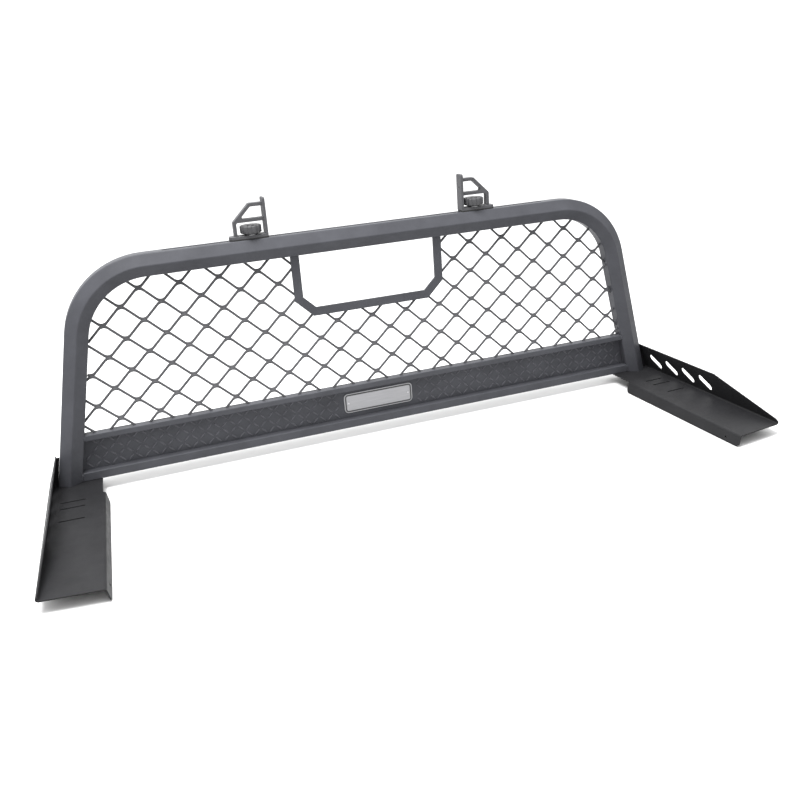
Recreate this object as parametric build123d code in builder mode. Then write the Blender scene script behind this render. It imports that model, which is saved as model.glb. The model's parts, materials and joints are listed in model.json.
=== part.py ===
"""Headache rack for a full-size pickup bed.

Frame: millimetres, +X to the right as seen from the bed looking toward the cab,
+Y toward the cab, +Z up. The origin is the centre of the rack's footprint, at the level of
the lowest edge, which is the bottom of the two flanges that hang inside the bed.
"""

import math
import os

from build123d import *

# ---------------------------------------------------------------- driving sizes
# Heights marked "above the rail" count from the top of the bracket floors.
floor_z = 32.0  # top of the bracket floors
mesh_y = 266.16  # plane of the mesh and of the hoop's tube, puts Y = 0 mid-footprint

# Hoop: hexagonal tube, a corner to the front and one to the back
tube_flats = 57.0
tube_wall = 2.5
tube_corner_radius = 4.5
foot_half_span = 853.5  # tube centreline at the rail
shoulder_half_span = 729.4  # tube centreline where leg and top would cross
hoop_height = 534.5  # tube centreline above the rail
bend_radius = 190.0

# Slot and track for the load stops
slot_width = 9.0
slot_half_length = 530.0
track_width = 26.0
track_height = 16.0
track_wall = 2.5
track_lip = 3.5

# Expanded metal mesh
mesh_pitch_x = 100.0
mesh_pitch_z = 82.0
mesh_thickness = 3.0
cell_half_width = 43.6
cell_half_height = 37.0
cell_flat_half = 4.0
cell_side_radius = 8.0
cell_top_radius = 8.5
mesh_top_row = 478.0  # a row of knots, above the rail
mesh_edge_gap = 0.2

# Window frame
window_half_width = 189.0
window_sill = 361.0
window_bar = 23.0
window_bar_thickness = 6.0
window_chamfer_x = 33.0
window_chamfer_z = 32.0

# Kick panel under the mesh
panel_front = -16.0  # from the mesh plane
panel_back = 12.0
panel_wall = 2.5
lower_rail_top = 23.0
upper_rail_bottom = 108.5
upper_rail_top = 124.0
tread_front = 6.0
tread_thickness = 2.5
badge_width = 206.0
badge_height = 58.0
badge_thickness = 2.0
rivet_radius = 2.4
rivet_spacing = 180.0

# Rail brackets, sizes in each bracket's own toed-out frame
sheet = 3.0
bracket_inner_x = 767.0
toe_out = 1.9  # degrees
bracket_width = 135.0
bracket_front = -573.0  # at the inner fold
front_skew = 12.5  # the outer corner stands back by this
outer_flange_rear = -3.0
inner_relief = 6.0  # floor cut back where there is no inner flange
bracket_rear = 36.0
inner_fold_radius = 7.0
outer_fold_radius = 3.0
inner_flange_lean = 11.5
inner_flange_rear = -100.0
inner_corner_radius = 12.0
outer_flange_height = 78.0
outer_flange_lean = 20.8
outer_kink_y = -347.0
outer_tip_height = 12.5
outer_tip_y = -554.0
outer_nose = 6.5  # the tip's front corner is cut down by this
end_wall_height = 74.0  # wall from the outer flange to the hoop's leg
end_wall_gap = 0.3
flange_slot_pitch = 74.3
flange_slot_first_y = -70.0
flange_slot_z = 34.8
flange_slot_length = 55.0
flange_slot_width = 20.0
flange_slot_angle = 33.5
floor_slot_length = 60.0
floor_slot_width = 5.5
floor_slot_x = 77.0
floor_slot_ys = (-122.0, -157.0, -224.0)
flange_hole_radius = 3.25
flange_hole_y = -524.0
flange_hole_drop = 21.0  # along the flange

# Foot blocks, screws and rail pads
block_height = 22.0
screw_radius = 4.0
screw_head_radius = 6.5
screw_half_spacing = 14.0
screw_length = 20.0
pad_thickness = 3.0
pad_margin = 12.0

# Load stops
stop_height = 100.5
stop_post = 6.5
stop_depth = 31.0
stop_brace_depth = 17.0
stop_toe_radius = 12.0  # toe corners in plan
stop_foot_length = 99.0
stop_foot = 10.0  # top of the foot, above the tube
stop_pad = 3.2  # rubber under the foot
stop_brace_length = 85.5
stop_leg = 8.0
stop_shoulder = 45.0
stop_mid_bottom = 43.0
stop_mid_top = 51.5
stop_top_bar = 88.7
stop_top_bar_thickness = 8.5
stop_slant_top = 40.5
stop_window_blunt = 6.0  # short upright end of the upper window
stop_tip_radius = 6.0  # upper corners of the post seen along X
stud_offset = 41.5  # load face to stud
left_stop_face = -262.0
right_stop_face = 276.0
stop_lift = 0.1  # paint clearance over the tube
tie_hole_radius = 3.0
tie_hole_height = 65.0

# Hand knobs and their tee bolts
stud_radius = 4.0
tee_head_length = 18.0
tee_head_width = 8.4
tee_head_height = 5.0
tee_neck = 8.6
tee_head_gap = 0.2
stud_end = 29.5  # above the tube
washer_radius = 15.0
washer_thickness = 1.6
knob_radius = 27.5
knob_lobes = 12
knob_flute_radius = 3.2
knob_height = 19.5
knob_neck_radius = 18.0
knob_neck_height = 3.3
insert_radius = 7.5
insert_length = 18.0
running_gap = 0.05

# ---------------------------------------------------------------- derived sizes
SIDES = {"left": -1, "right": 1}
splay = math.degrees(math.atan2(foot_half_span - shoulder_half_span, hoop_height))
tube_side = tube_flats / math.sqrt(3)
tube_top = hoop_height + tube_flats / 2
leg_inner_offset = tube_flats / 2 / math.cos(math.radians(splay))


def leg_inner_x(height):
    """Half-span between the legs' inner faces at a height above the rail."""
    lean = (foot_half_span - shoulder_half_span) / hoop_height
    return foot_half_span - leg_inner_offset - lean * height


def front_plane(y):
    """Sketch plane facing the viewer: X right, Y up from the rail, normal to -Y."""
    return Plane(origin=(0, mesh_y + y, floor_z), x_dir=(1, 0, 0), z_dir=(0, -1, 0))


def save(piece, name):
    piece.part.label = name
    export_step(piece.part, f"parts/{name}.step")


os.makedirs("parts", exist_ok=True)

# ---------------------------------------------------------------- hoop
# The tube's centreline: leg, bend, top, bend, leg. The legs start below the
# rail's level and are then cut flat where they stand on the bracket floors.
leg_extra = 40.0
lean_ratio = (foot_half_span - shoulder_half_span) / hoop_height
hoop_points = [
    (-foot_half_span - lean_ratio * leg_extra, -leg_extra),
    (-shoulder_half_span, hoop_height),
    (shoulder_half_span, hoop_height),
    (foot_half_span + lean_ratio * leg_extra, -leg_extra),
]
with BuildLine(front_plane(0)) as hoop_path:
    FilletPolyline(*hoop_points, radius=bend_radius)


def tube_section(flats, corner_radius):
    """Hexagon across the start of the hoop path, corners to front and back."""
    start = hoop_path.line @ 0
    along = hoop_path.line % 0
    with BuildSketch(Plane(origin=start, x_dir=(0, 1, 0), z_dir=along)) as section:
        RegularPolygon(radius=flats / math.sqrt(3), side_count=6)
        fillet(section.vertices(), radius=corner_radius)
    return section.sketch


with BuildPart() as hoop_tube:
    sweep(tube_section(tube_flats, tube_corner_radius), path=hoop_path.line)
    sweep(
        tube_section(tube_flats - 2 * tube_wall, tube_corner_radius - 2.0),
        path=hoop_path.line,
        mode=Mode.SUBTRACT,
    )
    split(bisect_by=Plane.XY.offset(floor_z), keep=Keep.TOP)
    with BuildSketch(Plane.XY.offset(floor_z + tube_top + 1)):
        with Locations((0, mesh_y)):
            SlotOverall(2 * slot_half_length, slot_width)
    extrude(amount=-(tube_wall + 2), mode=Mode.SUBTRACT)
save(hoop_tube, "hoop_tube")

# Inverted-C track welded under the slot, in which the tee bolts slide
track_top = floor_z + tube_top - tube_wall
with BuildPart() as stop_track:
    with BuildSketch(Plane.YZ.offset(-slot_half_length - 6)) as track_section:
        with Locations((mesh_y, track_top - track_height / 2)):
            Rectangle(track_width, track_height)
        with Locations((mesh_y, (track_top - track_lip + track_top - track_height + track_wall) / 2)):
            Rectangle(
                track_width - 2 * track_wall,
                track_height - track_wall - track_lip,
                mode=Mode.SUBTRACT,
            )
        with Locations((mesh_y, track_top - track_lip / 2)):
            Rectangle(slot_width, track_lip, mode=Mode.SUBTRACT)
    extrude(amount=2 * (slot_half_length + 6))
save(stop_track, "stop_track")

# Threaded blocks welded into the leg ends
for side, sign in SIDES.items():
    with BuildPart() as foot_block:
        with BuildSketch(
            Plane(
                origin=(
                    sign * (foot_half_span + lean_ratio * leg_extra),
                    mesh_y,
                    floor_z - leg_extra,
                ),
                x_dir=(0, 1, 0),
                z_dir=(-sign * lean_ratio, 0, 1),
            )
        ) as block_section:
            RegularPolygon(radius=(tube_flats - 2 * tube_wall - 0.2) / math.sqrt(3), side_count=6)
            fillet(block_section.vertices(), radius=tube_corner_radius - 1.5)
        extrude(amount=leg_extra + 2 * block_height)
        split(bisect_by=Plane.XY.offset(floor_z), keep=Keep.TOP)
        split(bisect_by=Plane.XY.offset(floor_z + block_height), keep=Keep.BOTTOM)
        with Locations(Plane.XY.offset(floor_z)):
            with Locations(
                (sign * foot_half_span, mesh_y - screw_half_spacing),
                (sign * foot_half_span, mesh_y + screw_half_spacing),
            ):
                Cylinder(
                    screw_radius + running_gap,
                    screw_length,
                    align=(Align.CENTER, Align.CENTER, Align.MIN),
                    mode=Mode.SUBTRACT,
                )
    save(foot_block, f"{side}_foot_block")

# ---------------------------------------------------------------- mesh
# Area inside the hoop above the kick panel, minus the window.
mesh_left_x = window_half_width + window_bar / 2
inner_top = hoop_height - tube_flats / 2 - mesh_edge_gap
inner_bend = bend_radius - tube_flats / 2


def hoop_inside(sign):
    """Corner points of the area inside the hoop, one half, from the middle out."""
    return [
        (0, upper_rail_top),
        (sign * (leg_inner_x(upper_rail_top) - mesh_edge_gap), upper_rail_top),
        (sign * (leg_inner_x(inner_top) - mesh_edge_gap), inner_top),
        (0, inner_top),
    ]


def cell_locations():
    """Centres of the mesh openings, staggered from row to row."""
    centres = []
    for row in range(-1, 11):
        height = mesh_top_row + mesh_pitch_z / 2 - row * mesh_pitch_z / 2
        shift = 0 if row % 2 == 0 else mesh_pitch_x / 2
        for column in range(-9, 10):
            centres.append((column * mesh_pitch_x + shift, height))
    return centres


def mesh_panel(low_x, high_x, low_z, high_z):
    """Expanded metal inside the hoop, cut to a rectangle of the front view."""
    with BuildPart() as panel:
        with BuildSketch(front_plane(mesh_thickness / 2)) as area:
            for sign in (-1, 1):
                with BuildLine() as outline:
                    Polyline(*hoop_inside(sign), close=True)
                make_face()
            corner_height = inner_top
            corners = area.vertices().filter_by(
                lambda v: abs(v.X) > 300 and v.Y > corner_height - 1
            )
            fillet(corners, radius=inner_bend)
            with Locations(((low_x + high_x) / 2, (low_z + high_z) / 2)):
                Rectangle(high_x - low_x, high_z - low_z, mode=Mode.INTERSECT)
            with BuildSketch(mode=Mode.PRIVATE) as cell:
                with BuildLine():
                    Polyline(
                        (cell_half_width, 0),
                        (cell_flat_half, cell_half_height),
                        (-cell_flat_half, cell_half_height),
                        (-cell_half_width, 0),
                        (-cell_flat_half, -cell_half_height),
                        (cell_flat_half, -cell_half_height),
                        close=True,
                    )
                make_face()
                sides = cell.vertices().group_by(Axis.Y)[1]
                fillet(sides, radius=cell_side_radius)
                tops = cell.vertices().filter_by(
                    lambda v: abs(abs(v.Y) - cell_half_height) < 0.01
                )
                fillet(tops, radius=cell_top_radius)
            with Locations(*cell_locations()):
                add(cell.sketch, mode=Mode.SUBTRACT)
        extrude(amount=mesh_thickness)
    # A strand cut off on both sides by the leg belongs to no panel
    with BuildPart() as whole_panel:
        add(panel.solids().sort_by(SortBy.VOLUME)[-1])
    return whole_panel


far = 1000.0
sill_outside = window_sill - window_bar
mesh_windows = {
    "mesh_left": (-far, -mesh_left_x, 0, far),
    "mesh_right": (mesh_left_x, far, 0, far),
    "mesh_center": (-mesh_left_x, mesh_left_x, 0, window_sill - window_bar / 2),
}
for mesh_name, limits in mesh_windows.items():
    save(mesh_panel(*limits), mesh_name)

# ---------------------------------------------------------------- window frame
frame_back = -mesh_thickness / 2
mitre = 2 - math.sqrt(2)  # keeps the bar as wide along the chamfers


def window_outline(half_width, sill, chamfer_x, chamfer_z, top):
    return [
        (-half_width, top),
        (-half_width, sill + chamfer_z),
        (-half_width + chamfer_x, sill),
        (half_width - chamfer_x, sill),
        (half_width, sill + chamfer_z),
        (half_width, top),
    ]


with BuildPart() as window_frame:
    with BuildSketch(front_plane(frame_back)):
        with BuildLine():
            Polyline(
                *window_outline(
                    window_half_width + window_bar,
                    sill_outside,
                    window_chamfer_x + window_bar * mitre,
                    window_chamfer_z + window_bar * mitre,
                    hoop_height - tube_flats / 2,
                ),
                close=True,
            )
        make_face()
        with BuildLine():
            Polyline(
                *window_outline(
                    window_half_width,
                    window_sill,
                    window_chamfer_x,
                    window_chamfer_z,
                    hoop_height,
                ),
                close=True,
            )
        make_face(mode=Mode.SUBTRACT)
    extrude(amount=window_bar_thickness)
save(window_frame, "window_frame")

# ---------------------------------------------------------------- kick panel


def panel_band(low, high):
    """Corners of a strip from leg to leg between two heights above the rail."""
    return [
        (-leg_inner_x(low), low),
        (leg_inner_x(low), low),
        (leg_inner_x(high), high),
        (-leg_inner_x(high), high),
    ]


def box_rail(low, high):
    """Rectangular tube from leg to leg, open at its slanted ends."""
    with BuildPart() as rail:
        with BuildSketch(front_plane(panel_back)):
            with BuildLine():
                Polyline(*panel_band(low, high), close=True)
            make_face()
        extrude(amount=panel_back - panel_front)
        outer_edges = rail.edges().filter_by(Axis.X)
        fillet(outer_edges, radius=2.0)
        with BuildSketch(front_plane(panel_back - panel_wall)):
            with Locations((0, (low + high) / 2)):
                Rectangle(2 * far, high - low - 2 * panel_wall)
        extrude(amount=panel_back - panel_front - 2 * panel_wall, mode=Mode.SUBTRACT)
    return rail


save(box_rail(0, lower_rail_top), "kick_rail_lower")
save(box_rail(upper_rail_bottom, upper_rail_top), "kick_rail_upper")

with BuildPart() as tread_plate:
    with BuildSketch(front_plane(tread_front + tread_thickness)):
        with BuildLine():
            Polyline(*panel_band(lower_rail_top, upper_rail_bottom), close=True)
        make_face()
    extrude(amount=tread_thickness)
save(tread_plate, "tread_plate")

badge_z = (lower_rail_top + upper_rail_bottom) / 2
with BuildPart() as badge_plate:
    with BuildSketch(front_plane(tread_front)):
        with Locations((0, badge_z)):
            RectangleRounded(badge_width, badge_height, radius=12)
    extrude(amount=badge_thickness)
    front_rim = badge_plate.faces().sort_by(Axis.Y)[0].edges()
    chamfer(front_rim, length=0.7)
save(badge_plate, "badge_plate")

with BuildPart() as badge_rivets:
    with BuildSketch(front_plane(tread_front - badge_thickness)):
        with Locations((-rivet_spacing / 2, badge_z), (rivet_spacing / 2, badge_z)):
            Circle(rivet_radius)
    extrude(amount=1.2)
    rivet_rims = badge_rivets.edges().filter_by(GeomType.CIRCLE).group_by(Axis.Y)[0]
    fillet(rivet_rims, radius=1.0)
save(badge_rivets, "badge_rivets")

# ---------------------------------------------------------------- rail brackets
# Folded sheet in a frame of its own: X outward from the inner fold, Y toward the
# cab, Z up from the floor's top. The right one is built and the left is its mirror.
toe = math.radians(toe_out)
inner_lean = math.radians(inner_flange_lean)
outer_lean = math.radians(outer_flange_lean)
flange_drop = floor_z - sheet * math.sin(inner_lean)  # the sheet's thick edge ends at Z = 0
bracket_frame = Plane(
    origin=(bracket_inner_x, mesh_y, floor_z),
    x_dir=(math.cos(toe), math.sin(toe), 0),
    z_dir=(0, 0, 1),
)


def bracket_plane(origin, x_dir, z_dir):
    """Plane given by a point and two directions of the bracket's own frame."""
    base = bracket_frame.origin
    return Plane(
        origin=bracket_frame.from_local_coords(origin),
        x_dir=bracket_frame.from_local_coords(x_dir) - base,
        z_dir=bracket_frame.from_local_coords(z_dir) - base,
    )


def leg_outer_x(height):
    """Distance from the inner fold to just outside the leg's outer face."""
    leg_face = foot_half_span + leg_inner_offset - lean_ratio * height
    return leg_face + end_wall_gap - bracket_inner_x


with BuildPart() as right_rail_bracket:
    # Folded section: inner flange down, floor, outer flange up and leaning in
    with BuildSketch(bracket_plane((0, bracket_rear, 0), (1, 0, 0), (0, -1, 0))):
        with BuildLine():
            FilletPolyline(
                (-flange_drop * math.tan(inner_lean), -flange_drop),
                (0, 0),
                (bracket_width, 0),
                (bracket_width - outer_flange_height * math.tan(outer_lean), outer_flange_height),
                radius=(inner_fold_radius, outer_fold_radius),
            )
            offset(amount=sheet, side=Side.RIGHT)
        make_face()
    extrude(amount=bracket_rear - bracket_front)
    # The inner flange stops short of the hoop
    with BuildSketch(bracket_plane((0, inner_flange_rear, 0), (1, 0, 0), (0, 1, 0))):
        with Locations((inner_relief, 0)):
            Rectangle(2 * floor_z, 3 * floor_z, align=(Align.MAX, Align.CENTER))
    extrude(amount=bracket_rear - inner_flange_rear + 1, mode=Mode.SUBTRACT)
    flange_corners = right_rail_bracket.edges().filter_by(
        lambda e: abs(e.length - sheet) < 0.2 and e.center().Z < 0.4 * floor_z
    )
    fillet(flange_corners, radius=inner_corner_radius)
    # The outer flange falls away to a low tip at the front
    with BuildSketch(bracket_plane((bracket_width + 10, 0, 0), (0, 1, 0), (1, 0, 0))) as drop:
        with BuildLine():
            Polyline(
                (outer_kink_y, outer_flange_height),
                (outer_tip_y, outer_tip_height),
                (bracket_front + front_skew, outer_tip_height - outer_nose),
                (bracket_front - 1, outer_tip_height - outer_nose),
                (bracket_front - 1, outer_flange_height + 10),
                (outer_kink_y, outer_flange_height + 10),
                close=True,
            )
        make_face()
    extrude(amount=-(0.5 * bracket_width), mode=Mode.SUBTRACT)
    # The outer flange ends beside the hoop's leg
    with BuildSketch(bracket_plane((bracket_width + 10, 0, 0), (0, 1, 0), (1, 0, 0))):
        with Locations((outer_flange_rear, 1)):
            Rectangle(2 * bracket_rear, 2 * outer_flange_height, align=(Align.MIN, Align.MIN))
    extrude(amount=-(0.5 * bracket_width), mode=Mode.SUBTRACT)
    # Wall that closes the flange's rear end against the leg
    with BuildSketch(bracket_plane((0, outer_flange_rear, 0), (1, 0, 0), (0, -1, 0))):
        with BuildLine():
            Polyline(
                (leg_outer_x(0), -sheet / 2),
                (bracket_width - sheet, -sheet / 2),
                (bracket_width + sheet / 6, sheet / 2),
                (
                    bracket_width - end_wall_height * math.tan(outer_lean) + sheet / 2,
                    end_wall_height,
                ),
                (leg_outer_x(end_wall_height), end_wall_height),
                close=True,
            )
        make_face()
    extrude(amount=sheet)
    # The front edge runs back toward the outer corner
    with BuildSketch(bracket_plane((0, 0, floor_z), (1, 0, 0), (0, 0, 1))):
        with BuildLine():
            Polyline(
                (0, bracket_front),
                (bracket_width, bracket_front + front_skew),
                (bracket_width + 2 * sheet, bracket_front + front_skew),
                (bracket_width + 2 * sheet, bracket_front - 10),
                (0, bracket_front - 10),
                close=True,
            )
        make_face()
    extrude(amount=-2 * floor_z, mode=Mode.SUBTRACT)
    # Slanted slots along the outer flange
    with BuildSketch(bracket_plane((bracket_width + 10, 0, 0), (0, 1, 0), (1, 0, 0))):
        for k in range(4):
            with Locations((flange_slot_first_y - k * flange_slot_pitch, flange_slot_z)):
                SlotOverall(flange_slot_length, flange_slot_width, rotation=flange_slot_angle)
    extrude(amount=-(0.5 * bracket_width), mode=Mode.SUBTRACT)
    # Cross slots in the floor
    with BuildSketch(bracket_plane((0, 0, 1), (1, 0, 0), (0, 0, 1))):
        with Locations(*[(floor_slot_x, y) for y in floor_slot_ys]):
            SlotOverall(floor_slot_length, floor_slot_width)
    extrude(amount=-(sheet + 2), mode=Mode.SUBTRACT)
    # Screw hole near the front of the inner flange
    hole_centre = (
        -flange_hole_drop * math.sin(inner_lean),
        flange_hole_y,
        -flange_hole_drop * math.cos(inner_lean),
    )
    flange_normal = (-math.cos(inner_lean), 0, math.sin(inner_lean))
    with BuildSketch(bracket_plane(hole_centre, (0, 1, 0), flange_normal)):
        Circle(flange_hole_radius)
    extrude(amount=2 * sheet, both=True, mode=Mode.SUBTRACT)
    # Countersunk holes for the screws into the hoop's foot
    with Locations(
        Plane(
            origin=(foot_half_span, mesh_y - screw_half_spacing, floor_z - sheet),
            x_dir=(1, 0, 0),
            z_dir=(0, 0, -1),
        ),
        Plane(
            origin=(foot_half_span, mesh_y + screw_half_spacing, floor_z - sheet),
            x_dir=(1, 0, 0),
            z_dir=(0, 0, -1),
        ),
    ):
        CounterSinkHole(
            radius=screw_radius + running_gap,
            counter_sink_radius=screw_head_radius + running_gap,
            depth=sheet,
            counter_sink_angle=90,
        )
save(right_rail_bracket, "right_rail_bracket")

with BuildPart() as left_rail_bracket:
    mirror(right_rail_bracket.part, about=Plane.YZ)
save(left_rail_bracket, "left_rail_bracket")

# Rubber pads under the floor, clear of its cross slots
pad_spans = [
    (bracket_front + front_skew + pad_margin, floor_slot_ys[-1] - pad_margin),
    (floor_slot_ys[0] + pad_margin, bracket_rear - pad_margin),
]
with BuildPart() as right_rail_pads:
    with BuildSketch(bracket_plane((0, 0, -sheet), (1, 0, 0), (0, 0, 1))):
        for front, rear in pad_spans:
            with Locations((bracket_width / 2, (front + rear) / 2)):
                RectangleRounded(bracket_width - 2 * pad_margin, rear - front, radius=6)
    extrude(amount=-pad_thickness)
save(right_rail_pads, "right_rail_pads")

with BuildPart() as left_rail_pads:
    mirror(right_rail_pads.part, about=Plane.YZ)
save(left_rail_pads, "left_rail_pads")

# Flat-head screws up through the floors into the foot blocks
cone_height = screw_head_radius - screw_radius
socket_flats = 5.0
socket_depth = 2.2
for side, sign in SIDES.items():
    with BuildPart() as foot_screws:
        for y in (mesh_y - screw_half_spacing, mesh_y + screw_half_spacing):
            with BuildSketch(
                Plane(
                    origin=(sign * foot_half_span, y, floor_z - sheet),
                    x_dir=(1, 0, 0),
                    z_dir=(0, -1, 0),
                )
            ) as half_screw:
                with BuildLine():
                    Polyline(
                        (0, 0),
                        (screw_head_radius, 0),
                        (screw_radius, cone_height),
                        (screw_radius, screw_length),
                        (0, screw_length),
                        close=True,
                    )
                make_face()
            revolve(axis=Axis((sign * foot_half_span, y, 0), (0, 0, 1)))
            with BuildSketch(Plane.XY.offset(floor_z - sheet)):
                with Locations((sign * foot_half_span, y)):
                    RegularPolygon(radius=socket_flats / math.sqrt(3), side_count=6)
            extrude(amount=socket_depth, mode=Mode.SUBTRACT)
    save(foot_screws, f"{side}_foot_screws")

# ---------------------------------------------------------------- load stops
STOP_FACES = {"left": left_stop_face, "right": right_stop_face}
stop_base = tube_top + stop_lift


def stop_points(side, pairs):
    """Front-view points from (distance behind the load face, height) pairs."""
    sign = SIDES[side]
    return [(STOP_FACES[side] + sign * s, stop_base + z) for s, z in pairs]


slant_x = (stop_brace_length - stop_slant_top) / (stop_top_bar - stop_shoulder)
slant_inset = stop_leg * math.hypot(1, slant_x)
upper_high = stop_top_bar - stop_top_bar_thickness
blunt_drop = stop_top_bar - stop_mid_top - stop_window_blunt
blunt_x = stop_slant_top + blunt_drop * slant_x - slant_inset
upper_window = [
    (stop_post, stop_mid_top),
    (stop_post, upper_high),
    (stop_slant_top + (stop_top_bar - upper_high) * slant_x - slant_inset, upper_high),
    (blunt_x, stop_mid_top + stop_window_blunt),
    (blunt_x, stop_mid_top),
]
lower_window = [
    (stop_post, stop_foot),
    (stop_post, stop_mid_bottom),
    (stop_brace_length - stop_leg, stop_mid_bottom),
    (stop_brace_length - stop_leg, stop_foot),
]
brace_outline = [
    (0.5, stop_pad + 0.5),
    (0.5, stop_top_bar),
    (stop_slant_top, stop_top_bar),
    (stop_brace_length, stop_shoulder),
    (stop_brace_length, stop_pad + 0.5),
]
brace_radii = [2.0, 2.0, 5.0, 8.0, 2.0]
post_outline = [
    (0, stop_pad),
    (0, stop_height),
    (stop_post, stop_height),
    (stop_post, stop_pad),
]
foot_outline = [
    (0, stop_pad),
    (0, stop_foot),
    (stop_foot_length, stop_foot),
    (stop_foot_length, stop_pad),
]
# Outline, corner radii, depth and whether it adds or cuts, in building order
STOP_LAYERS = [
    (brace_outline, brace_radii, stop_brace_depth, Mode.ADD),
    (upper_window, 3.5, 2 * stop_depth, Mode.SUBTRACT),
    (lower_window, 4.5, 2 * stop_depth, Mode.SUBTRACT),
    (post_outline, 2.2, stop_depth, Mode.ADD),
    (foot_outline, 1.5, stop_depth, Mode.ADD),
]

for side, sign in SIDES.items():
    stud_x = STOP_FACES[side] + sign * stud_offset
    with BuildPart() as load_stop:
        for outline, radius, depth, mode in STOP_LAYERS:
            with BuildSketch(front_plane(0)):
                with BuildLine():
                    FilletPolyline(*stop_points(side, outline), radius=radius, close=True)
                make_face()
            extrude(amount=depth / 2, both=True, mode=mode)
        # Post's upper corners rounded
        with BuildSketch(Plane.YZ.offset(STOP_FACES[side] - sign)):
            with Locations((mesh_y, floor_z + stop_base + stop_height)):
                Rectangle(stop_depth + 2, 2 * stop_tip_radius)
            with Locations((mesh_y, floor_z + stop_base + stop_height - 2 * stop_tip_radius)):
                RectangleRounded(
                    stop_depth, 4 * stop_tip_radius, radius=stop_tip_radius, mode=Mode.SUBTRACT
                )
        extrude(amount=sign * (stop_post + 2), mode=Mode.SUBTRACT)
        # Toe corners rounded in plan
        toe_x = STOP_FACES[side] + sign * stop_foot_length
        with BuildSketch(Plane.XY.offset(floor_z + stop_base)):
            with Locations((toe_x, mesh_y)):
                Rectangle(2 * stop_toe_radius, stop_depth + 2)
            with Locations((toe_x - sign * 2 * stop_toe_radius, mesh_y)):
                RectangleRounded(
                    4 * stop_toe_radius, stop_depth, radius=stop_toe_radius, mode=Mode.SUBTRACT
                )
        extrude(amount=stop_foot, mode=Mode.SUBTRACT)
        # Stud hole through the foot
        with BuildSketch(Plane.XY.offset(floor_z + stop_base - 1)):
            with Locations((stud_x, mesh_y)):
                Circle(stud_radius + 0.3)
        extrude(amount=stop_foot + 2, mode=Mode.SUBTRACT)
        # Tie hole through the post
        with BuildSketch(Plane.YZ.offset(STOP_FACES[side] - sign)):
            with Locations((mesh_y, floor_z + stop_base + tie_hole_height)):
                Circle(tie_hole_radius)
        extrude(amount=sign * (stop_post + 2), mode=Mode.SUBTRACT)
    save(load_stop, f"{side}_load_stop")

    # Rubber pad between the foot and the tube
    with BuildPart() as stop_pad_piece:
        with BuildSketch(Plane.XY.offset(floor_z + stop_base)):
            with Locations(((STOP_FACES[side] + toe_x) / 2, mesh_y)):
                RectangleRounded(stop_foot_length, stop_depth, radius=stop_toe_radius / 4)
            with Locations((stud_x, mesh_y)):
                Circle(stud_radius + 0.3, mode=Mode.SUBTRACT)
            with Locations((toe_x, mesh_y)):
                Rectangle(2 * stop_toe_radius, stop_depth + 2, mode=Mode.SUBTRACT)
            with Locations((toe_x - sign * 2 * stop_toe_radius, mesh_y)):
                RectangleRounded(4 * stop_toe_radius, stop_depth, radius=stop_toe_radius)
        extrude(amount=stop_pad)
    save(stop_pad_piece, f"{side}_stop_pad")

    # Tee bolt: head in the track, square neck in the slot, stud up to the knob
    neck_base = floor_z + tube_top - tube_wall - track_lip - tee_head_gap
    with BuildPart() as tee_bolt:
        with BuildSketch(Plane.XY.offset(neck_base)):
            with Locations((stud_x, mesh_y)):
                Rectangle(tee_head_width, tee_head_length)
        extrude(amount=-tee_head_height)
        with BuildSketch(Plane.XY.offset(neck_base)):
            with Locations((stud_x, mesh_y)):
                Rectangle(tee_neck, tee_neck)
        extrude(amount=tube_wall + track_lip)
        with BuildSketch(Plane.XY.offset(neck_base)):
            with Locations((stud_x, mesh_y)):
                Circle(stud_radius)
        extrude(amount=floor_z + tube_top + stud_end - neck_base)
        chamfer(tee_bolt.edges().filter_by(GeomType.CIRCLE).sort_by(Axis.Z)[-1], length=0.8)
    save(tee_bolt, f"{side}_tee_bolt")

    # Captive washer, fluted knob and its threaded insert
    washer_base = floor_z + stop_base + stop_foot
    knob_base = washer_base + washer_thickness
    knob_top = knob_base + knob_neck_height + knob_height
    with BuildPart() as lock_washer:
        with BuildSketch(Plane.XY.offset(washer_base)):
            with Locations((stud_x, mesh_y)):
                Circle(washer_radius)
                Circle(stud_radius + 0.3, mode=Mode.SUBTRACT)
        extrude(amount=washer_thickness)
    save(lock_washer, f"{side}_lock_washer")

    with BuildPart() as knob_insert:
        with BuildSketch(Plane.XY.offset(knob_base)):
            with Locations((stud_x, mesh_y)):
                Circle(insert_radius)
                Circle(stud_radius + running_gap, mode=Mode.SUBTRACT)
        extrude(amount=insert_length)
    save(knob_insert, f"{side}_knob_insert")

    with BuildPart() as knob:
        with BuildSketch(Plane.XY.offset(knob_base)):
            with Locations((stud_x, mesh_y)):
                Circle(knob_neck_radius)
        extrude(amount=knob_neck_height)
        with BuildSketch(Plane.XY.offset(knob_base + knob_neck_height)):
            with Locations((stud_x, mesh_y)):
                Circle(knob_radius)
        extrude(amount=knob_height)
        rims = knob.edges().filter_by(GeomType.CIRCLE).filter_by(
            lambda e: abs(e.radius - knob_radius) < 0.1
        )
        fillet(rims.sort_by(Axis.Z)[-1], radius=3.5)
        with BuildSketch(Plane.XY.offset(knob_base + knob_neck_height)):
            with Locations((stud_x, mesh_y)):
                with PolarLocations(knob_radius + 1.4, knob_lobes):
                    Circle(knob_flute_radius)
        extrude(amount=knob_height, mode=Mode.SUBTRACT)
        with BuildSketch(Plane.XY.offset(knob_base)):
            with Locations((stud_x, mesh_y)):
                Circle(insert_radius)
        extrude(amount=insert_length, mode=Mode.SUBTRACT)
        with BuildSketch(Plane.XY.offset(knob_base + insert_length)):
            with Locations((stud_x, mesh_y)):
                Circle(stud_radius + 0.5)
        extrude(amount=2, mode=Mode.SUBTRACT)
    save(knob, f"{side}_knob")
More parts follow.
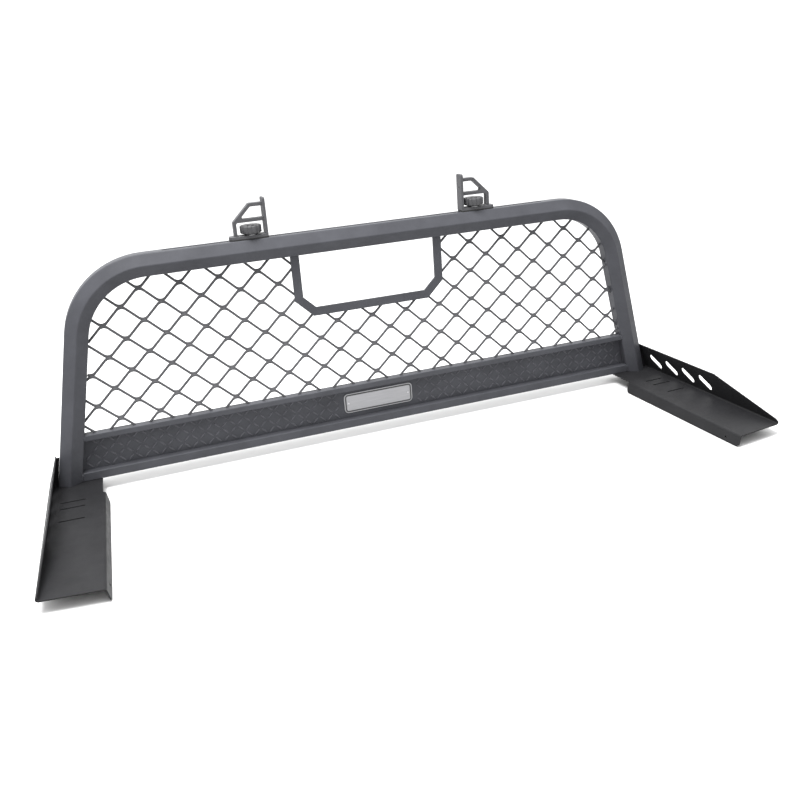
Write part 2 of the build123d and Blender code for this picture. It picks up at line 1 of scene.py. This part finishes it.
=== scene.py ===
"""Looks of the headache rack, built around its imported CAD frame. Metres, row frame:
+X right seen from the bed, +Y toward the cab, +Z up, Z = 0 at the lowest edge."""

import json
import math

import bmesh
import bpy
from mathutils import Matrix, Vector


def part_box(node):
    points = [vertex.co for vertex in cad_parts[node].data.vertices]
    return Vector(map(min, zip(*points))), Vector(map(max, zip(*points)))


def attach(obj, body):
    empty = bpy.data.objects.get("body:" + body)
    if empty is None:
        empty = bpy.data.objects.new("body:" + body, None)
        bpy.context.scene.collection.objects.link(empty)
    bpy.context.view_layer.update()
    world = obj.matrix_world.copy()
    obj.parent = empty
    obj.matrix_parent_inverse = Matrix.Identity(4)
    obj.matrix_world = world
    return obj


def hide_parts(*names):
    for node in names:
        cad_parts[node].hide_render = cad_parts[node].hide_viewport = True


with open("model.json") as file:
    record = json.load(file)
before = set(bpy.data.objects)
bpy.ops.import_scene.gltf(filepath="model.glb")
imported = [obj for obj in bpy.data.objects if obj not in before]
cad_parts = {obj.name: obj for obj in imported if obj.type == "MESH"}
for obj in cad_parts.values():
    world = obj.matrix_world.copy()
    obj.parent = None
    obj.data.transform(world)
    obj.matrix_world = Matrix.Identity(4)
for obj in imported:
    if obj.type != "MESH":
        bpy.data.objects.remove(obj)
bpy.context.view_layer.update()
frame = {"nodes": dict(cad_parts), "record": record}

# ------------------------------------------------------------------ places taken from the frame
nodes = frame["nodes"]
MESH_LOW, MESH_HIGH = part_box("mesh_center")
TREAD_LOW, TREAD_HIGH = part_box("tread_plate")
BADGE_LOW, BADGE_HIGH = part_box("badge_plate")
RAIL_LOW, RAIL_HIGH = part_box("kick_rail_lower")
TOP_RAIL_LOW, TOP_RAIL_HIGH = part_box("kick_rail_upper")
WINDOW_LOW, WINDOW_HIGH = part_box("window_frame")
FLOOR_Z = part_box("hoop_tube")[0][2]  # top of the bracket floors, where the legs stand
MESH_Y = (MESH_LOW[1] + MESH_HIGH[1]) / 2
FRONT = Vector((0, -1, 0))  # toward the bed

# ------------------------------------------------------------------ driving sizes
FOOT_HALF_SPAN = 0.8535  # tube centreline at the bracket floors
SHOULDER_HALF_SPAN = 0.7294
HOOP_HEIGHT = 0.5345  # tube centreline above the bracket floors
TUBE_FLATS = 0.057
BEND_RADIUS = 0.190

CELL_X = 0.100  # mesh cell, tip to tip
CELL_Z = 0.082
KNOT_ROW = 0.478  # height of one row of knots above the bracket floors
STRAND_WIDTH = 0.0063
STRAND_THICKNESS = 0.0032
STRAND_TILT = math.radians(26)
STRAND_ROUNDING = 1.04  # makes up for the width that the rounded corners take
KNOT_FLAT = 0.0065  # half length of a knot's straight part
KNOT_ROUND = 0.0050  # along the strand, each side of its bend
KNOT_MERGE = 0.0006  # how far the two strands run into each other at a knot
KNOT_SWELL = 0.18  # extra section at a knot
STRAND_STEP = 0.0025
WELD_BITE = 0.0015  # how far strand ends reach into what they are welded to

WINDOW_BAR = 0.023
WINDOW_CHAMFER_X = 0.033
WINDOW_CHAMFER_Z = 0.032

LUG_PITCH = 0.0210
LUG_LENGTH = 0.0220
LUG_WIDTH = 0.0050
LUG_HEIGHT = 0.0012
LUG_BITE = 0.0002  # how far a lug is sunk into the plate
LUG_TILT = math.radians(45)
LUG_POINTS = 12

LEAN = (FOOT_HALF_SPAN - SHOULDER_HALF_SPAN) / HOOP_HEIGHT
LEAN_SECANT = math.hypot(1, LEAN)


def leg_inner_x(height):
    """Half-span between the legs' inner flats at a height above the bracket floors."""
    return FOOT_HALF_SPAN - TUBE_FLATS / 2 * LEAN_SECANT - LEAN * height


# ------------------------------------------------------------------ material helpers
NOISE_LOW, NOISE_HIGH = 0.3, 0.7  # noise seldom leaves this range
EDGE_COSINE = 0.75  # between a surface and its rounded normal, where an edge is at its palest
FLAT_COSINE = 0.995


def tint(shade, factor):
    """The shade made darker or paler by a factor."""
    return tuple(channel * factor for channel in shade)


class Graph:
    """A node material under construction."""

    def __init__(self, name):
        self.material = bpy.data.materials.new(name)
        self.material.use_nodes = True
        self.tree = self.material.node_tree
        self.shader = self.tree.nodes["Principled BSDF"]
        self.place = self.add("ShaderNodeTexCoord").outputs["Object"]

    def add(self, kind, **values):
        node = self.tree.nodes.new(kind)
        for key, value in values.items():
            if hasattr(node, key):
                setattr(node, key, value)
            else:
                node.inputs[key.replace("_", " ")].default_value = value
        return node

    def link(self, source, target):
        self.tree.links.new(source, target)

    def noise(self, per_metre, detail=2.0, roughness=0.5, stretch=None):
        """Noise value with so many cells to a metre."""
        texture = self.add("ShaderNodeTexNoise", Scale=per_metre, Detail=detail, Roughness=roughness)
        source = self.place
        if stretch:
            mapping = self.add("ShaderNodeMapping")
            mapping.inputs["Scale"].default_value = stretch
            self.link(source, mapping.inputs["Vector"])
            source = mapping.outputs["Vector"]
        self.link(source, texture.inputs["Vector"])
        return texture.outputs["Fac"]

    def math(self, operation, first, second):
        node = self.add("ShaderNodeMath", operation=operation)
        for socket, value in zip(node.inputs, (first, second)):
            if isinstance(value, (int, float)):
                socket.default_value = value
            else:
                self.link(value, socket)
        return node.outputs[0]

    def spread(self, value, low, high, from_low=NOISE_LOW, from_high=NOISE_HIGH):
        """Maps a value from one range to another, clamped."""
        node = self.add("ShaderNodeMapRange")
        self.link(value, node.inputs["Value"])
        for name, number in (
            ("From Min", from_low),
            ("From Max", from_high),
            ("To Min", low),
            ("To Max", high),
        ):
            node.inputs[name].default_value = number
        return node.outputs["Result"]

    def blend(self, factor, first, second):
        """Mix of two colours, each a triple or a socket."""
        node = self.add("ShaderNodeMix", data_type="RGBA")
        self.link(factor, node.inputs["Factor"])
        for socket, colour in ((node.inputs["A"], first), (node.inputs["B"], second)):
            if isinstance(colour, tuple):
                socket.default_value = (*colour, 1)
            else:
                self.link(colour, socket)
        return node.outputs["Result"]

    def edges(self, radius):
        """Zero on flats and rising along edges, with the rounded normal that goes with it."""
        bevel = self.add("ShaderNodeBevel", samples=4, Radius=radius)
        shape = self.add("ShaderNodeNewGeometry")
        product = self.add("ShaderNodeVectorMath", operation="DOT_PRODUCT")
        self.link(bevel.outputs["Normal"], product.inputs[0])
        self.link(shape.outputs["Normal"], product.inputs[1])
        mask = self.spread(product.outputs["Value"], 1.0, 0.0, EDGE_COSINE, FLAT_COSINE)
        return mask, bevel.outputs["Normal"]

    def paint_edge_highlight(self, edge, amount, colour, highlight_colour):
        """Paints a highlight: lets a colour turn to a paler one along edges, by at most an amount.
        """
        return self.blend(self.math("MULTIPLY", edge, amount), colour, highlight_colour)

    def bump(self, height, strength, depth, normal=None):
        """Roughens the surface by a height value whose full range is a depth in metres."""
        node = self.add("ShaderNodeBump", Strength=strength, Distance=depth)
        self.link(height, node.inputs["Height"])
        if normal is not None:
            self.link(normal, node.inputs["Normal"])
        self.link(node.outputs["Normal"], self.shader.inputs["Normal"])

    def finish(self, colour, roughness, **fixed):
        """Joins colour and roughness to the shader and sets its plain numbers."""
        for name, value in (("Base Color", colour), ("Roughness", roughness)):
            socket = self.shader.inputs[name]
            if isinstance(value, tuple):
                socket.default_value = (*value, 1)
            elif isinstance(value, float):
                socket.default_value = value
            else:
                self.link(value, socket)
        for name, value in fixed.items():
            self.shader.inputs[name.replace("_", " ")].default_value = value
        return self.material


# ------------------------------------------------------------------ materials
SHEEN = 0.12  # specular level of the coats
CHARCOAL = (0.043, 0.044, 0.050)


def powder_coat(name, shade, roughness, edge_radius=0.0012):
    """Satin textured powder coat: fine orange peel, slow mottling, and paler edges that are a
    painted highlight.
    """
    g = Graph(name)
    edge, rounded = g.edges(edge_radius)
    mottle = g.noise(14, detail=4, roughness=0.6)
    colour = g.blend(g.spread(mottle, 0, 1), tint(shade, 0.86), tint(shade, 1.14))
    speck = g.noise(2600, detail=1)
    colour = g.blend(g.spread(speck, 0, 0.35, 0.56, 0.72), colour, tint(shade, 1.7))
    # Painted highlight: the edges are painted paler, as if they caught the light
    colour = g.paint_edge_highlight(edge, 0.4, colour, tint(shade, 2.4))
    smear = g.noise(30, detail=3, stretch=(1, 1, 3))
    rough = g.spread(smear, roughness - 0.05, roughness + 0.06)
    peel = g.noise(750, detail=3, roughness=0.55)
    g.bump(peel, strength=0.32, depth=0.0004, normal=rounded)
    return g.finish(colour, rough, Specular_IOR_Level=SHEEN)


def cast_coat(name, shade):
    """Coated aluminium casting: coarser pits under the coat, and edges painted paler as a highlight.
    """
    g = Graph(name)
    edge, rounded = g.edges(0.0011)
    mottle = g.noise(60, detail=4)
    colour = g.blend(g.spread(mottle, 0, 1), tint(shade, 0.85), shade)
    # Painted highlight: the edges are painted paler, as if they caught the light
    colour = g.paint_edge_highlight(edge, 0.55, colour, tint(shade, 2.2))
    pits = g.noise(420, detail=4, roughness=0.65)
    g.bump(pits, strength=0.5, depth=0.0006, normal=rounded)
    return g.finish(colour, g.spread(mottle, 0.44, 0.58), Specular_IOR_Level=SHEEN)


def bare_metal(name, shade, roughness, stretch=(1, 1, 1)):
    """Plated or brushed metal with fine drawn scratches."""
    g = Graph(name)
    rounded = g.edges(0.0005)[1]
    lines = g.noise(900, detail=3, stretch=stretch)
    colour = g.blend(g.spread(lines, 0, 1), tint(shade, 0.8), shade)
    g.bump(lines, strength=0.12, depth=0.0002, normal=rounded)
    rough = g.spread(lines, roughness - 0.06, roughness + 0.08)
    return g.finish(colour, rough, Metallic=1.0)


def moulded_plastic(name, shade):
    """Black glass-filled nylon with a fine spark-eroded grain."""
    g = Graph(name)
    edge, rounded = g.edges(0.0006)
    cloud = g.noise(90, detail=3)
    colour = g.blend(g.spread(cloud, 0, 1), shade, tint(shade, 1.5))
    # Painted highlight: the edges are painted paler, as if they caught the light
    colour = g.paint_edge_highlight(edge, 0.3, colour, tint(shade, 3))
    grain = g.noise(1500, detail=2)
    g.bump(grain, strength=0.35, depth=0.0003, normal=rounded)
    return g.finish(colour, g.spread(cloud, 0.46, 0.6))


def rubber(name, shade):
    """Matt black rubber sheet with a cloth-pressed surface."""
    g = Graph(name)
    cloud = g.noise(50, detail=4)
    colour = g.blend(g.spread(cloud, 0, 1), shade, tint(shade, 1.6))
    g.bump(g.noise(1100, detail=2), strength=0.5, depth=0.0004)
    return g.finish(colour, g.spread(cloud, 0.8, 0.92))


MATERIALS = {
    "hoop_coat": powder_coat("hoop_coat", CHARCOAL, 0.42),
    "panel_coat": powder_coat("panel_coat", (0.044, 0.045, 0.051), 0.46),
    "mesh_coat": powder_coat("mesh_coat", (0.058, 0.058, 0.062), 0.46, edge_radius=0.0006),
    "bracket_coat": powder_coat("bracket_coat", (0.0120, 0.0120, 0.0130), 0.50),
    "stop_coat": cast_coat("stop_coat", (0.062, 0.062, 0.066)),
    "track_metal": bare_metal("track_metal", (0.30, 0.30, 0.31), 0.45, stretch=(0.03, 1, 1)),
    "badge_face": bare_metal("badge_face", (0.30, 0.30, 0.31), 0.40, stretch=(0.02, 1, 1)),
    "rivet_metal": bare_metal("rivet_metal", (0.55, 0.55, 0.57), 0.30),
    "fastener_steel": bare_metal("fastener_steel", (0.42, 0.42, 0.43), 0.32),
    "pad_rubber": rubber("pad_rubber", (0.006, 0.006, 0.006)),
    "knob_plastic": moulded_plastic("knob_plastic", (0.024, 0.024, 0.026)),
    "insert_brass": bare_metal("insert_brass", (0.62, 0.46, 0.22), 0.32),
}
# Painted highlight: the tread's lugs are painted paler than the plate, as if their crests caught the
# light
LUG_HIGHLIGHT_COAT = powder_coat("lug_highlight_coat", (0.068, 0.069, 0.077), 0.40)


def dress_frame():
    """Gives every CAD node the material of its slot in the record."""
    for part in frame["record"]["subparts"]:
        material = MATERIALS[part["material_slot"]]
        for material_slot in nodes[part["node"]].material_slots:
            material_slot.material = material


# ------------------------------------------------------------------ mesh helpers
def make_piece(name, bm, slot, body):
    """Turns a bmesh into a piece that rides on a body and takes a slot's finish."""
    bmesh.ops.recalc_face_normals(bm, faces=bm.faces)
    data = bpy.data.meshes.new(name)
    bm.to_mesh(data)
    bm.free()
    for face in data.polygons:
        face.use_smooth = True
    piece = bpy.data.objects.new(name, data)
    bpy.context.scene.collection.objects.link(piece)
    data.materials.append(MATERIALS[slot])
    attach(piece, body)
    return piece


def add_rings(bm, rings):
    """Skins a list of rings, each a list of points, into a tube with closed ends."""
    made = [[bm.verts.new(point) for point in ring] for ring in rings]
    count = len(rings[0])
    for one, two in zip(made, made[1:]):
        for k in range(count):
            following = (k + 1) % count
            bm.faces.new((one[k], one[following], two[following], two[k]))
    bm.faces.new(list(reversed(made[0])))
    bm.faces.new(made[-1])


def superellipse(half_width, half_height, count=10, power=3.5):
    """Rounded rectangle, or an ellipse at power 2, as (across, up) pairs."""
    points = []
    for k in range(count):
        angle = 2 * math.pi * (k + 0.5) / count
        c, s = math.cos(angle), math.sin(angle)
        size = (abs(c) ** power + abs(s) ** power) ** (-1 / power)
        points.append((half_width * c * size, half_height * s * size))
    return points


def sweep(bm, path, section_at, up):
    """Sweeps a section along a path. section_at(k) gives (across, up) pairs at point k."""
    rings = []
    for k, point in enumerate(path):
        along = (path[min(k + 1, len(path) - 1)] - path[max(k - 1, 0)]).normalized()
        across = along.cross(up).normalized()
        lift = across.cross(along)
        rings.append([point + across * a + lift * b for a, b in section_at(k)])
    add_rings(bm, rings)


# ------------------------------------------------------------------ expanded metal
def inside_hoop(x, z):
    """True if a point at |x|, z above the bracket floors lies between the hoop's inner flats."""
    top = HOOP_HEIGHT - TUBE_FLATS / 2 + WELD_BITE
    radius = BEND_RADIUS - TUBE_FLATS / 2 + WELD_BITE
    edge = leg_inner_x(z) + WELD_BITE
    centre_z = top - radius
    centre_x = leg_inner_x(centre_z) + WELD_BITE - radius * LEAN_SECANT
    if z > top or x > edge:
        return False
    turn = math.atan2(z - centre_z, x - centre_x)
    if math.atan(LEAN) < turn < math.pi / 2:
        return math.hypot(x - centre_x, z - centre_z) < radius
    return True


def in_window(x, z):
    """True if a point lies inside the middle line of the window frame's bars."""
    mitre = (2 - math.sqrt(2)) / 2
    half = WINDOW_HIGH[0] - WINDOW_BAR / 2
    sill = WINDOW_LOW[2] - FLOOR_Z + WINDOW_BAR / 2
    chamfer_x = WINDOW_CHAMFER_X + WINDOW_BAR * mitre
    chamfer_z = WINDOW_CHAMFER_Z + WINDOW_BAR * mitre
    corner = (half - x) / chamfer_x + (z - sill) / chamfer_z
    return x < half and z > sill and corner > 1


def has_mesh(x, z):
    bottom = TOP_RAIL_HIGH[2] - FLOOR_Z - WELD_BITE
    return z > bottom and inside_hoop(abs(x), z) and not in_window(abs(x), z)


def strand_rise(run):
    """Height of a strand, 0 at a low knot to 1 at a high one, at a run of 0 to half a cell."""
    half = CELL_X / 2
    slope_length = half - 2 * KNOT_FLAT
    position = (run - KNOT_FLAT) / slope_length
    soft = KNOT_ROUND / slope_length
    if position < soft:
        return max(position + soft, 0) ** 2 / (4 * soft)
    if position > 1 - soft:
        return 1 - max(1 - position + soft, 0) ** 2 / (4 * soft)
    return position


def strand_point(x, row):
    """Point of strand number row at x. Each strand joins the one above and the one below."""
    phase = (x / CELL_X + row / 2) % 1
    rise = strand_rise(CELL_X * (phase if phase < 0.5 else 1 - phase))
    knot_half = STRAND_WIDTH / 2 - KNOT_MERGE
    low = KNOT_ROW - row * CELL_Z / 2 + knot_half * math.cos(STRAND_TILT)
    high = KNOT_ROW - (row - 1) * CELL_Z / 2 - knot_half * math.cos(STRAND_TILT)
    depth = knot_half * math.sin(STRAND_TILT) * (1 - 2 * rise)
    return Vector((x, MESH_Y + depth, FLOOR_Z + low + (high - low) * rise))


def knot_nearness(x):
    """1 at a knot, fading to 0 beside it."""
    run = abs((2 * x / CELL_X + 0.5) % 1 - 0.5) * CELL_X / 2
    return max(0, min(1, (KNOT_FLAT + KNOT_ROUND - run) / KNOT_ROUND))


def strand_section():
    """Section of a strand, tilted as the expanding press leaves it."""
    outline = superellipse(STRAND_WIDTH / 2 * STRAND_ROUNDING, STRAND_THICKNESS / 2)
    c, s = math.cos(STRAND_TILT), math.sin(STRAND_TILT)
    return [(a * c - b * s, a * s + b * c) for a, b in outline]


def add_strand(bm, run, section):
    """One unbroken stretch of strand, thicker at its knots."""

    def section_at(k):
        swell = 1 + KNOT_SWELL * knot_nearness(run[k].x)
        return [(a * swell, b * swell) for a, b in section]

    sweep(bm, run, section_at, FRONT)


def build_expanded_mesh():
    """One sheet of expanded metal: wavy tilted strands that merge at the knots."""
    bm = bmesh.new()
    section = strand_section()
    steps = int(2 * FOOT_HALF_SPAN / STRAND_STEP)
    rows = int((KNOT_ROW - TOP_RAIL_HIGH[2] + FLOOR_Z) / (CELL_Z / 2)) + 2
    for row in range(-1, rows + 1):
        run = []
        for k in range(steps + 1):
            point = strand_point(-FOOT_HALF_SPAN + k * STRAND_STEP, row)
            if has_mesh(point.x, point.z - FLOOR_Z):
                run.append(point)
                continue
            if len(run) > 2:
                add_strand(bm, run, section)
            run = []
    piece = make_piece("expanded_mesh", bm, "mesh_coat", "rack")
    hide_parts("mesh_left", "mesh_center", "mesh_right")


# ------------------------------------------------------------------ tread plate lugs
LUG_POINT = 0.25  # how much slimmer than an ellipse a lug is toward its ends
# (share of the outline, height over the plate) from the foot to the crest
LUG_DOME = (
    (1.0, -LUG_BITE),
    (0.86, 0.55 * LUG_HEIGHT),
    (0.62, 0.88 * LUG_HEIGHT),
    (0.3, LUG_HEIGHT),
)


def add_lug(bm, x, z, angle, y):
    """One raised domed lozenge of the tread pattern, on the plate's front at y."""
    along = Vector((math.cos(angle), 0, math.sin(angle)))
    across = Vector((-math.sin(angle), 0, math.cos(angle)))
    centre = Vector((x, y, z))
    rings = []
    for scale, height in LUG_DOME:
        ring = []
        for k in range(LUG_POINTS):
            turn = 2 * math.pi * k / LUG_POINTS
            half = LUG_WIDTH / 2 * math.sin(turn) * (1 - LUG_POINT * abs(math.cos(turn)))
            offset = along * (LUG_LENGTH / 2 * math.cos(turn)) + across * half
            ring.append(centre + offset * scale + FRONT * height)
        rings.append(ring)
    add_rings(bm, rings)


def build_tread_lugs():
    """Alternating lozenges over the kick panel, clear of its rails, legs and badge."""
    bm = bmesh.new()
    margin = LUG_LENGTH / 2
    rows = int((TREAD_HIGH[2] - TREAD_LOW[2] - 2 * margin) / LUG_PITCH) + 1
    spare = (TREAD_HIGH[2] - TREAD_LOW[2] - (rows - 1) * LUG_PITCH) / 2
    columns = int(TREAD_HIGH[0] / LUG_PITCH)
    for row in range(rows):
        z = TREAD_LOW[2] + spare + row * LUG_PITCH
        for column in range(-columns, columns + 1):
            x = column * LUG_PITCH
            past_badge = abs(x) > BADGE_HIGH[0] + margin
            if past_badge and abs(x) < leg_inner_x(z - FLOOR_Z) - margin:
                tilt = LUG_TILT if (row + column) % 2 else -LUG_TILT
                add_lug(bm, x, z, tilt, TREAD_LOW[1])
    piece = make_piece("tread_lugs", bm, "panel_coat", "rack")
    # Painted highlight: the lugs take the paler coat
    piece.data.materials[0] = LUG_HIGHLIGHT_COAT


# ------------------------------------------------------------------ knobs
KNOB_LOBES = 12
KNOB_STEPS = 10  # points round each lobe
FLUTE_DEPTH = 0.0019
FLUTE_POWER = 1.5  # higher is a narrower flute
NECK_HEIGHT = 0.0033
BORE_CLEARANCE = 0.0001


def build_knob(side):
    """Fluted hand knob: neck, rounded lobes, dished top and a small centre cap."""
    low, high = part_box(f"{side}_knob")
    axis = Vector(((low[0] + high[0]) / 2, (low[1] + high[1]) / 2, 0))
    radius = (high[0] - low[0]) / 2
    height = high[2] - low[2]
    neck = 0.655 * radius
    bore = 0.3 * radius + BORE_CLEARANCE
    # (radius, height, depth of the flutes) from the bore's rim round to the middle of the top
    profile = [
        (bore, 0, 0),
        (neck, 0, 0),
        (neck, NECK_HEIGHT * 0.9, 0),
        (0.88 * radius, NECK_HEIGHT, 0),
        (0.965 * radius, NECK_HEIGHT + 0.0005, 0.8),
        (0.995 * radius, NECK_HEIGHT + 0.0018, 1),
        (radius, height * 0.5, 1),
        (0.997 * radius, height - 0.0028, 1),
        (0.972 * radius, height - 0.0010, 0.9),
        (0.92 * radius, height - 0.0002, 0.6),
        (0.84 * radius, height, 0.2),
        (0.66 * radius, height - 0.0010, 0),
        (0.36 * radius, height - 0.0015, 0),
        (0.33 * radius, height - 0.0002, 0),
        (0.26 * radius, height, 0),
        (0.02 * radius, height, 0),
    ]
    bm = bmesh.new()
    around = KNOB_LOBES * KNOB_STEPS
    rings = []
    for size, z, flute in profile:
        ring = []
        for k in range(around):
            turn = 2 * math.pi * k / around
            groove = max(0, math.cos(KNOB_LOBES * turn)) ** FLUTE_POWER
            r = size - flute * groove * FLUTE_DEPTH
            ring.append(axis + Vector((r * math.cos(turn), r * math.sin(turn), low[2] + z)))
        rings.append(ring)
    add_rings(bm, rings)
    piece = make_piece(f"{side}_fluted_knob", bm, "knob_plastic", f"{side}_handwheel")
    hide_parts(f"{side}_knob")


# ------------------------------------------------------------------ weld beads
BEAD_PITCH = 0.0032
BEAD_RADIUS = 0.0030
WINDOW_BEAD_RADIUS = 0.0024
BEAD_STEPS = 5  # points along each ripple
BEAD_FEWEST_STEPS = 8
BEAD_DIP = 0.16  # how much thinner a bead is between ripples
BEAD_CREST = 0.35  # where a ripple's crest lies along it
BEAD_END = 0.4  # size of the very ends
BEAD_INSET = 0.003  # from the rail's corners


def add_bead(bm, start, end, radius=BEAD_RADIUS):
    """A run of overlapping weld ripples between two points."""
    length = (end - start).length
    steps = max(BEAD_FEWEST_STEPS, int(length / BEAD_PITCH * BEAD_STEPS))
    path = [start.lerp(end, k / steps) for k in range(steps + 1)]

    def section_at(k):
        travel = (length * k / steps / BEAD_PITCH) % 1
        slope = (travel - BEAD_CREST) / (1 - BEAD_CREST)
        size = radius * (1 - BEAD_DIP + BEAD_DIP * math.sqrt(max(0, 1 - slope ** 2)))
        if k in (0, steps):
            size *= BEAD_END
        return superellipse(size, size, count=8, power=2)

    sweep(bm, path, section_at, FRONT)


def build_weld_beads():
    """Beads where the rails and the window frame meet the hoop."""
    bm = bmesh.new()
    for sign in (-1, 1):
        for low, high in ((RAIL_LOW, RAIL_HIGH), (TOP_RAIL_LOW, TOP_RAIL_HIGH)):
            for y in (low[1], high[1]):
                ends = []
                for z in (low[2] + BEAD_INSET, high[2] - BEAD_INSET):
                    ends.append(Vector((sign * leg_inner_x(z - FLOOR_Z), y, z)))
                add_bead(bm, *ends)
        tube_under = FLOOR_Z + HOOP_HEIGHT - TUBE_FLATS / 2
        outer = sign * WINDOW_HIGH[0]
        inner = sign * (WINDOW_HIGH[0] - WINDOW_BAR)
        add_bead(
            bm,
            Vector((inner, WINDOW_LOW[1], tube_under)),
            Vector((outer, WINDOW_LOW[1], tube_under)),
            radius=WINDOW_BEAD_RADIUS,
        )
    make_piece("weld_beads", bm, "hoop_coat", "rack")


# ------------------------------------------------------------------ badge
BADGE_CORNER_RADIUS = 0.012
BORDER_INSET = 0.0030
BORDER_BAND = 0.0035
BORDER_CHAMFER = 0.0005
BORDER_SHOULDER = 0.0003  # height of the border's upright edges
BORDER_HEIGHT = 0.0007
BORDER_BITE = 0.0002


def rounded_loop(half_x, half_z, radius, y, centre_z, count=6):
    """Points of a rounded rectangle facing -Y."""
    points = []
    for quarter, (sx, sz) in enumerate(((1, 1), (-1, 1), (-1, -1), (1, -1))):
        for k in range(count + 1):
            turn = math.radians(90 * quarter + 90 * k / count)
            x = sx * (half_x - radius) + radius * math.cos(turn)
            z = sz * (half_z - radius) + radius * math.sin(turn)
            points.append(Vector((x, y, centre_z + z)))
    return points


def build_badge_trim():
    """Raised black border inside the blank badge's rim."""
    bm = bmesh.new()
    face = BADGE_LOW[1]
    centre_z = (BADGE_LOW[2] + BADGE_HIGH[2]) / 2
    half_x = BADGE_HIGH[0]
    half_z = (BADGE_HIGH[2] - BADGE_LOW[2]) / 2
    inner = BORDER_INSET + BORDER_BAND
    # (inset from the badge's rim, height over its face) round the border's section
    section = [
        (BORDER_INSET, -BORDER_BITE),
        (BORDER_INSET, BORDER_SHOULDER),
        (BORDER_INSET + BORDER_CHAMFER, BORDER_HEIGHT),
        (inner, BORDER_HEIGHT),
        (inner + BORDER_CHAMFER, BORDER_SHOULDER),
        (inner + BORDER_CHAMFER, -BORDER_BITE),
    ]
    loops = []
    for inset, height in section:
        radius = BADGE_CORNER_RADIUS - inset
        loop = rounded_loop(half_x - inset, half_z - inset, radius, face - height, centre_z)
        loops.append([bm.verts.new(point) for point in loop])
    count = len(loops[0])
    for one, two in zip(loops, loops[1:] + loops[:1]):
        for k in range(count):
            following = (k + 1) % count
            bm.faces.new((one[k], one[following], two[following], two[k]))
    make_piece("badge_border", bm, "knob_plastic", "rack")


# ------------------------------------------------------------------ studio
FLOOR_SHADE = (0.54, 0.54, 0.54)
FLOOR_HALF = 40.0
FLOOR_DROP = 0.0005  # keeps the floor clear of the pads that stand on it

AWAY_LEFT = (-0.34, 0.94, 0)  # toward the cab and a little to the left
NEAR_STRENGTH = 0.60
FAR_STRENGTH = 1.06
OVERHEAD_STRENGTH = 2.0  # added straight above, fading to nothing at the horizon

KEY_DIRECTION = Vector((-0.26, -0.20, 0.94))
KEY_DISTANCE = 4.2
KEY_SIZE = 2.2
KEY_WATTS = 400
RACK_MIDDLE = Vector((0, MESH_Y, 0.4))

CAMERA_PLACE = (-0.6752, MESH_Y - 2.1721, 0.9637)
CAMERA_LENS = 38.2
CAMERA_AZIMUTH = math.radians(18.759)  # clockwise from straight ahead, seen from above
CAMERA_DIP = math.radians(21.069)
CAMERA_ROLL = math.radians(-4.179)


def build_floor():
    """Plain white floor that fades into the white surroundings."""
    g = Graph("studio_floor")
    g.finish(FLOOR_SHADE, 0.9, Specular_IOR_Level=0.0)
    data = bpy.data.meshes.new("studio_floor")
    quarters = ((-1, -1), (1, -1), (1, 1), (-1, 1))
    corners = [(sx * FLOOR_HALF, sy * FLOOR_HALF, 0) for sx, sy in quarters]
    data.from_pydata(corners, [], [(0, 1, 2, 3)])
    floor = bpy.data.objects.new("studio_floor", data)
    floor.location.z = -FLOOR_DROP
    bpy.context.scene.collection.objects.link(floor)
    data.materials.append(g.material)


def build_world():
    """White surroundings, brightest overhead and dimmest behind the viewer and to the right."""
    world = bpy.data.worlds.new("studio")
    world.use_nodes = True
    tree = world.node_tree
    background = tree.nodes["Background"]
    background.inputs["Color"].default_value = (1, 1, 1, 1)
    direction = tree.nodes.new("ShaderNodeTexCoord").outputs["Generated"]

    def toward(vector, low, high, from_low, from_high):
        """Strength that grows from low to high as the view turns toward a vector."""
        product = tree.nodes.new("ShaderNodeVectorMath")
        product.operation = "DOT_PRODUCT"
        tree.links.new(direction, product.inputs[0])
        product.inputs[1].default_value = vector
        ramp = tree.nodes.new("ShaderNodeMapRange")
        ramp.inputs["From Min"].default_value = from_low
        ramp.inputs["From Max"].default_value = from_high
        ramp.inputs["To Min"].default_value = low
        ramp.inputs["To Max"].default_value = high
        tree.links.new(product.outputs["Value"], ramp.inputs["Value"])
        return ramp.outputs["Result"]

    total = tree.nodes.new("ShaderNodeMath")
    total.operation = "ADD"
    across = toward(AWAY_LEFT, NEAR_STRENGTH, FAR_STRENGTH, -0.5, 0.4)
    overhead = toward((0, 0, 1), 0.0, OVERHEAD_STRENGTH, 0.0, 1.0)
    tree.links.new(across, total.inputs[0])
    tree.links.new(overhead, total.inputs[1])
    tree.links.new(total.outputs[0], background.inputs["Strength"])
    bpy.context.scene.world = world


def build_key_light():
    """One broad lamp nearly overhead, a little to the left and in front."""
    lamp = bpy.data.lights.new("key", "AREA")
    lamp.shape = "DISK"
    lamp.size = KEY_SIZE
    lamp.energy = KEY_WATTS
    light = bpy.data.objects.new("key", lamp)
    light.location = RACK_MIDDLE + KEY_DISTANCE * KEY_DIRECTION
    light.rotation_euler = KEY_DIRECTION.to_track_quat("Z", "Y").to_euler()
    bpy.context.scene.collection.objects.link(light)


def build_camera():
    """The photograph's view, from the left and above, slightly rolled."""
    camera_data = bpy.data.cameras.new("camera")
    camera_data.sensor_width = 36
    camera_data.lens = CAMERA_LENS
    camera_data.clip_end = 200
    camera = bpy.data.objects.new("camera", camera_data)
    bpy.context.scene.collection.objects.link(camera)
    heading = Matrix.Rotation(-CAMERA_AZIMUTH, 4, "Z")
    pitch = Matrix.Rotation(math.pi / 2 - CAMERA_DIP, 4, "X")
    roll = Matrix.Rotation(CAMERA_ROLL, 4, "Z")
    camera.matrix_world = Matrix.Translation(CAMERA_PLACE) @ heading @ pitch @ roll
    bpy.context.scene.camera = camera


dress_frame()
build_expanded_mesh()
build_tread_lugs()
build_weld_beads()
build_badge_trim()
for knob_side in ("left", "right"):
    build_knob(knob_side)
build_floor()
build_world()
build_key_light()
build_camera()
bpy.context.scene.view_settings.view_transform = "Standard"

bpy.context.view_layer.update()
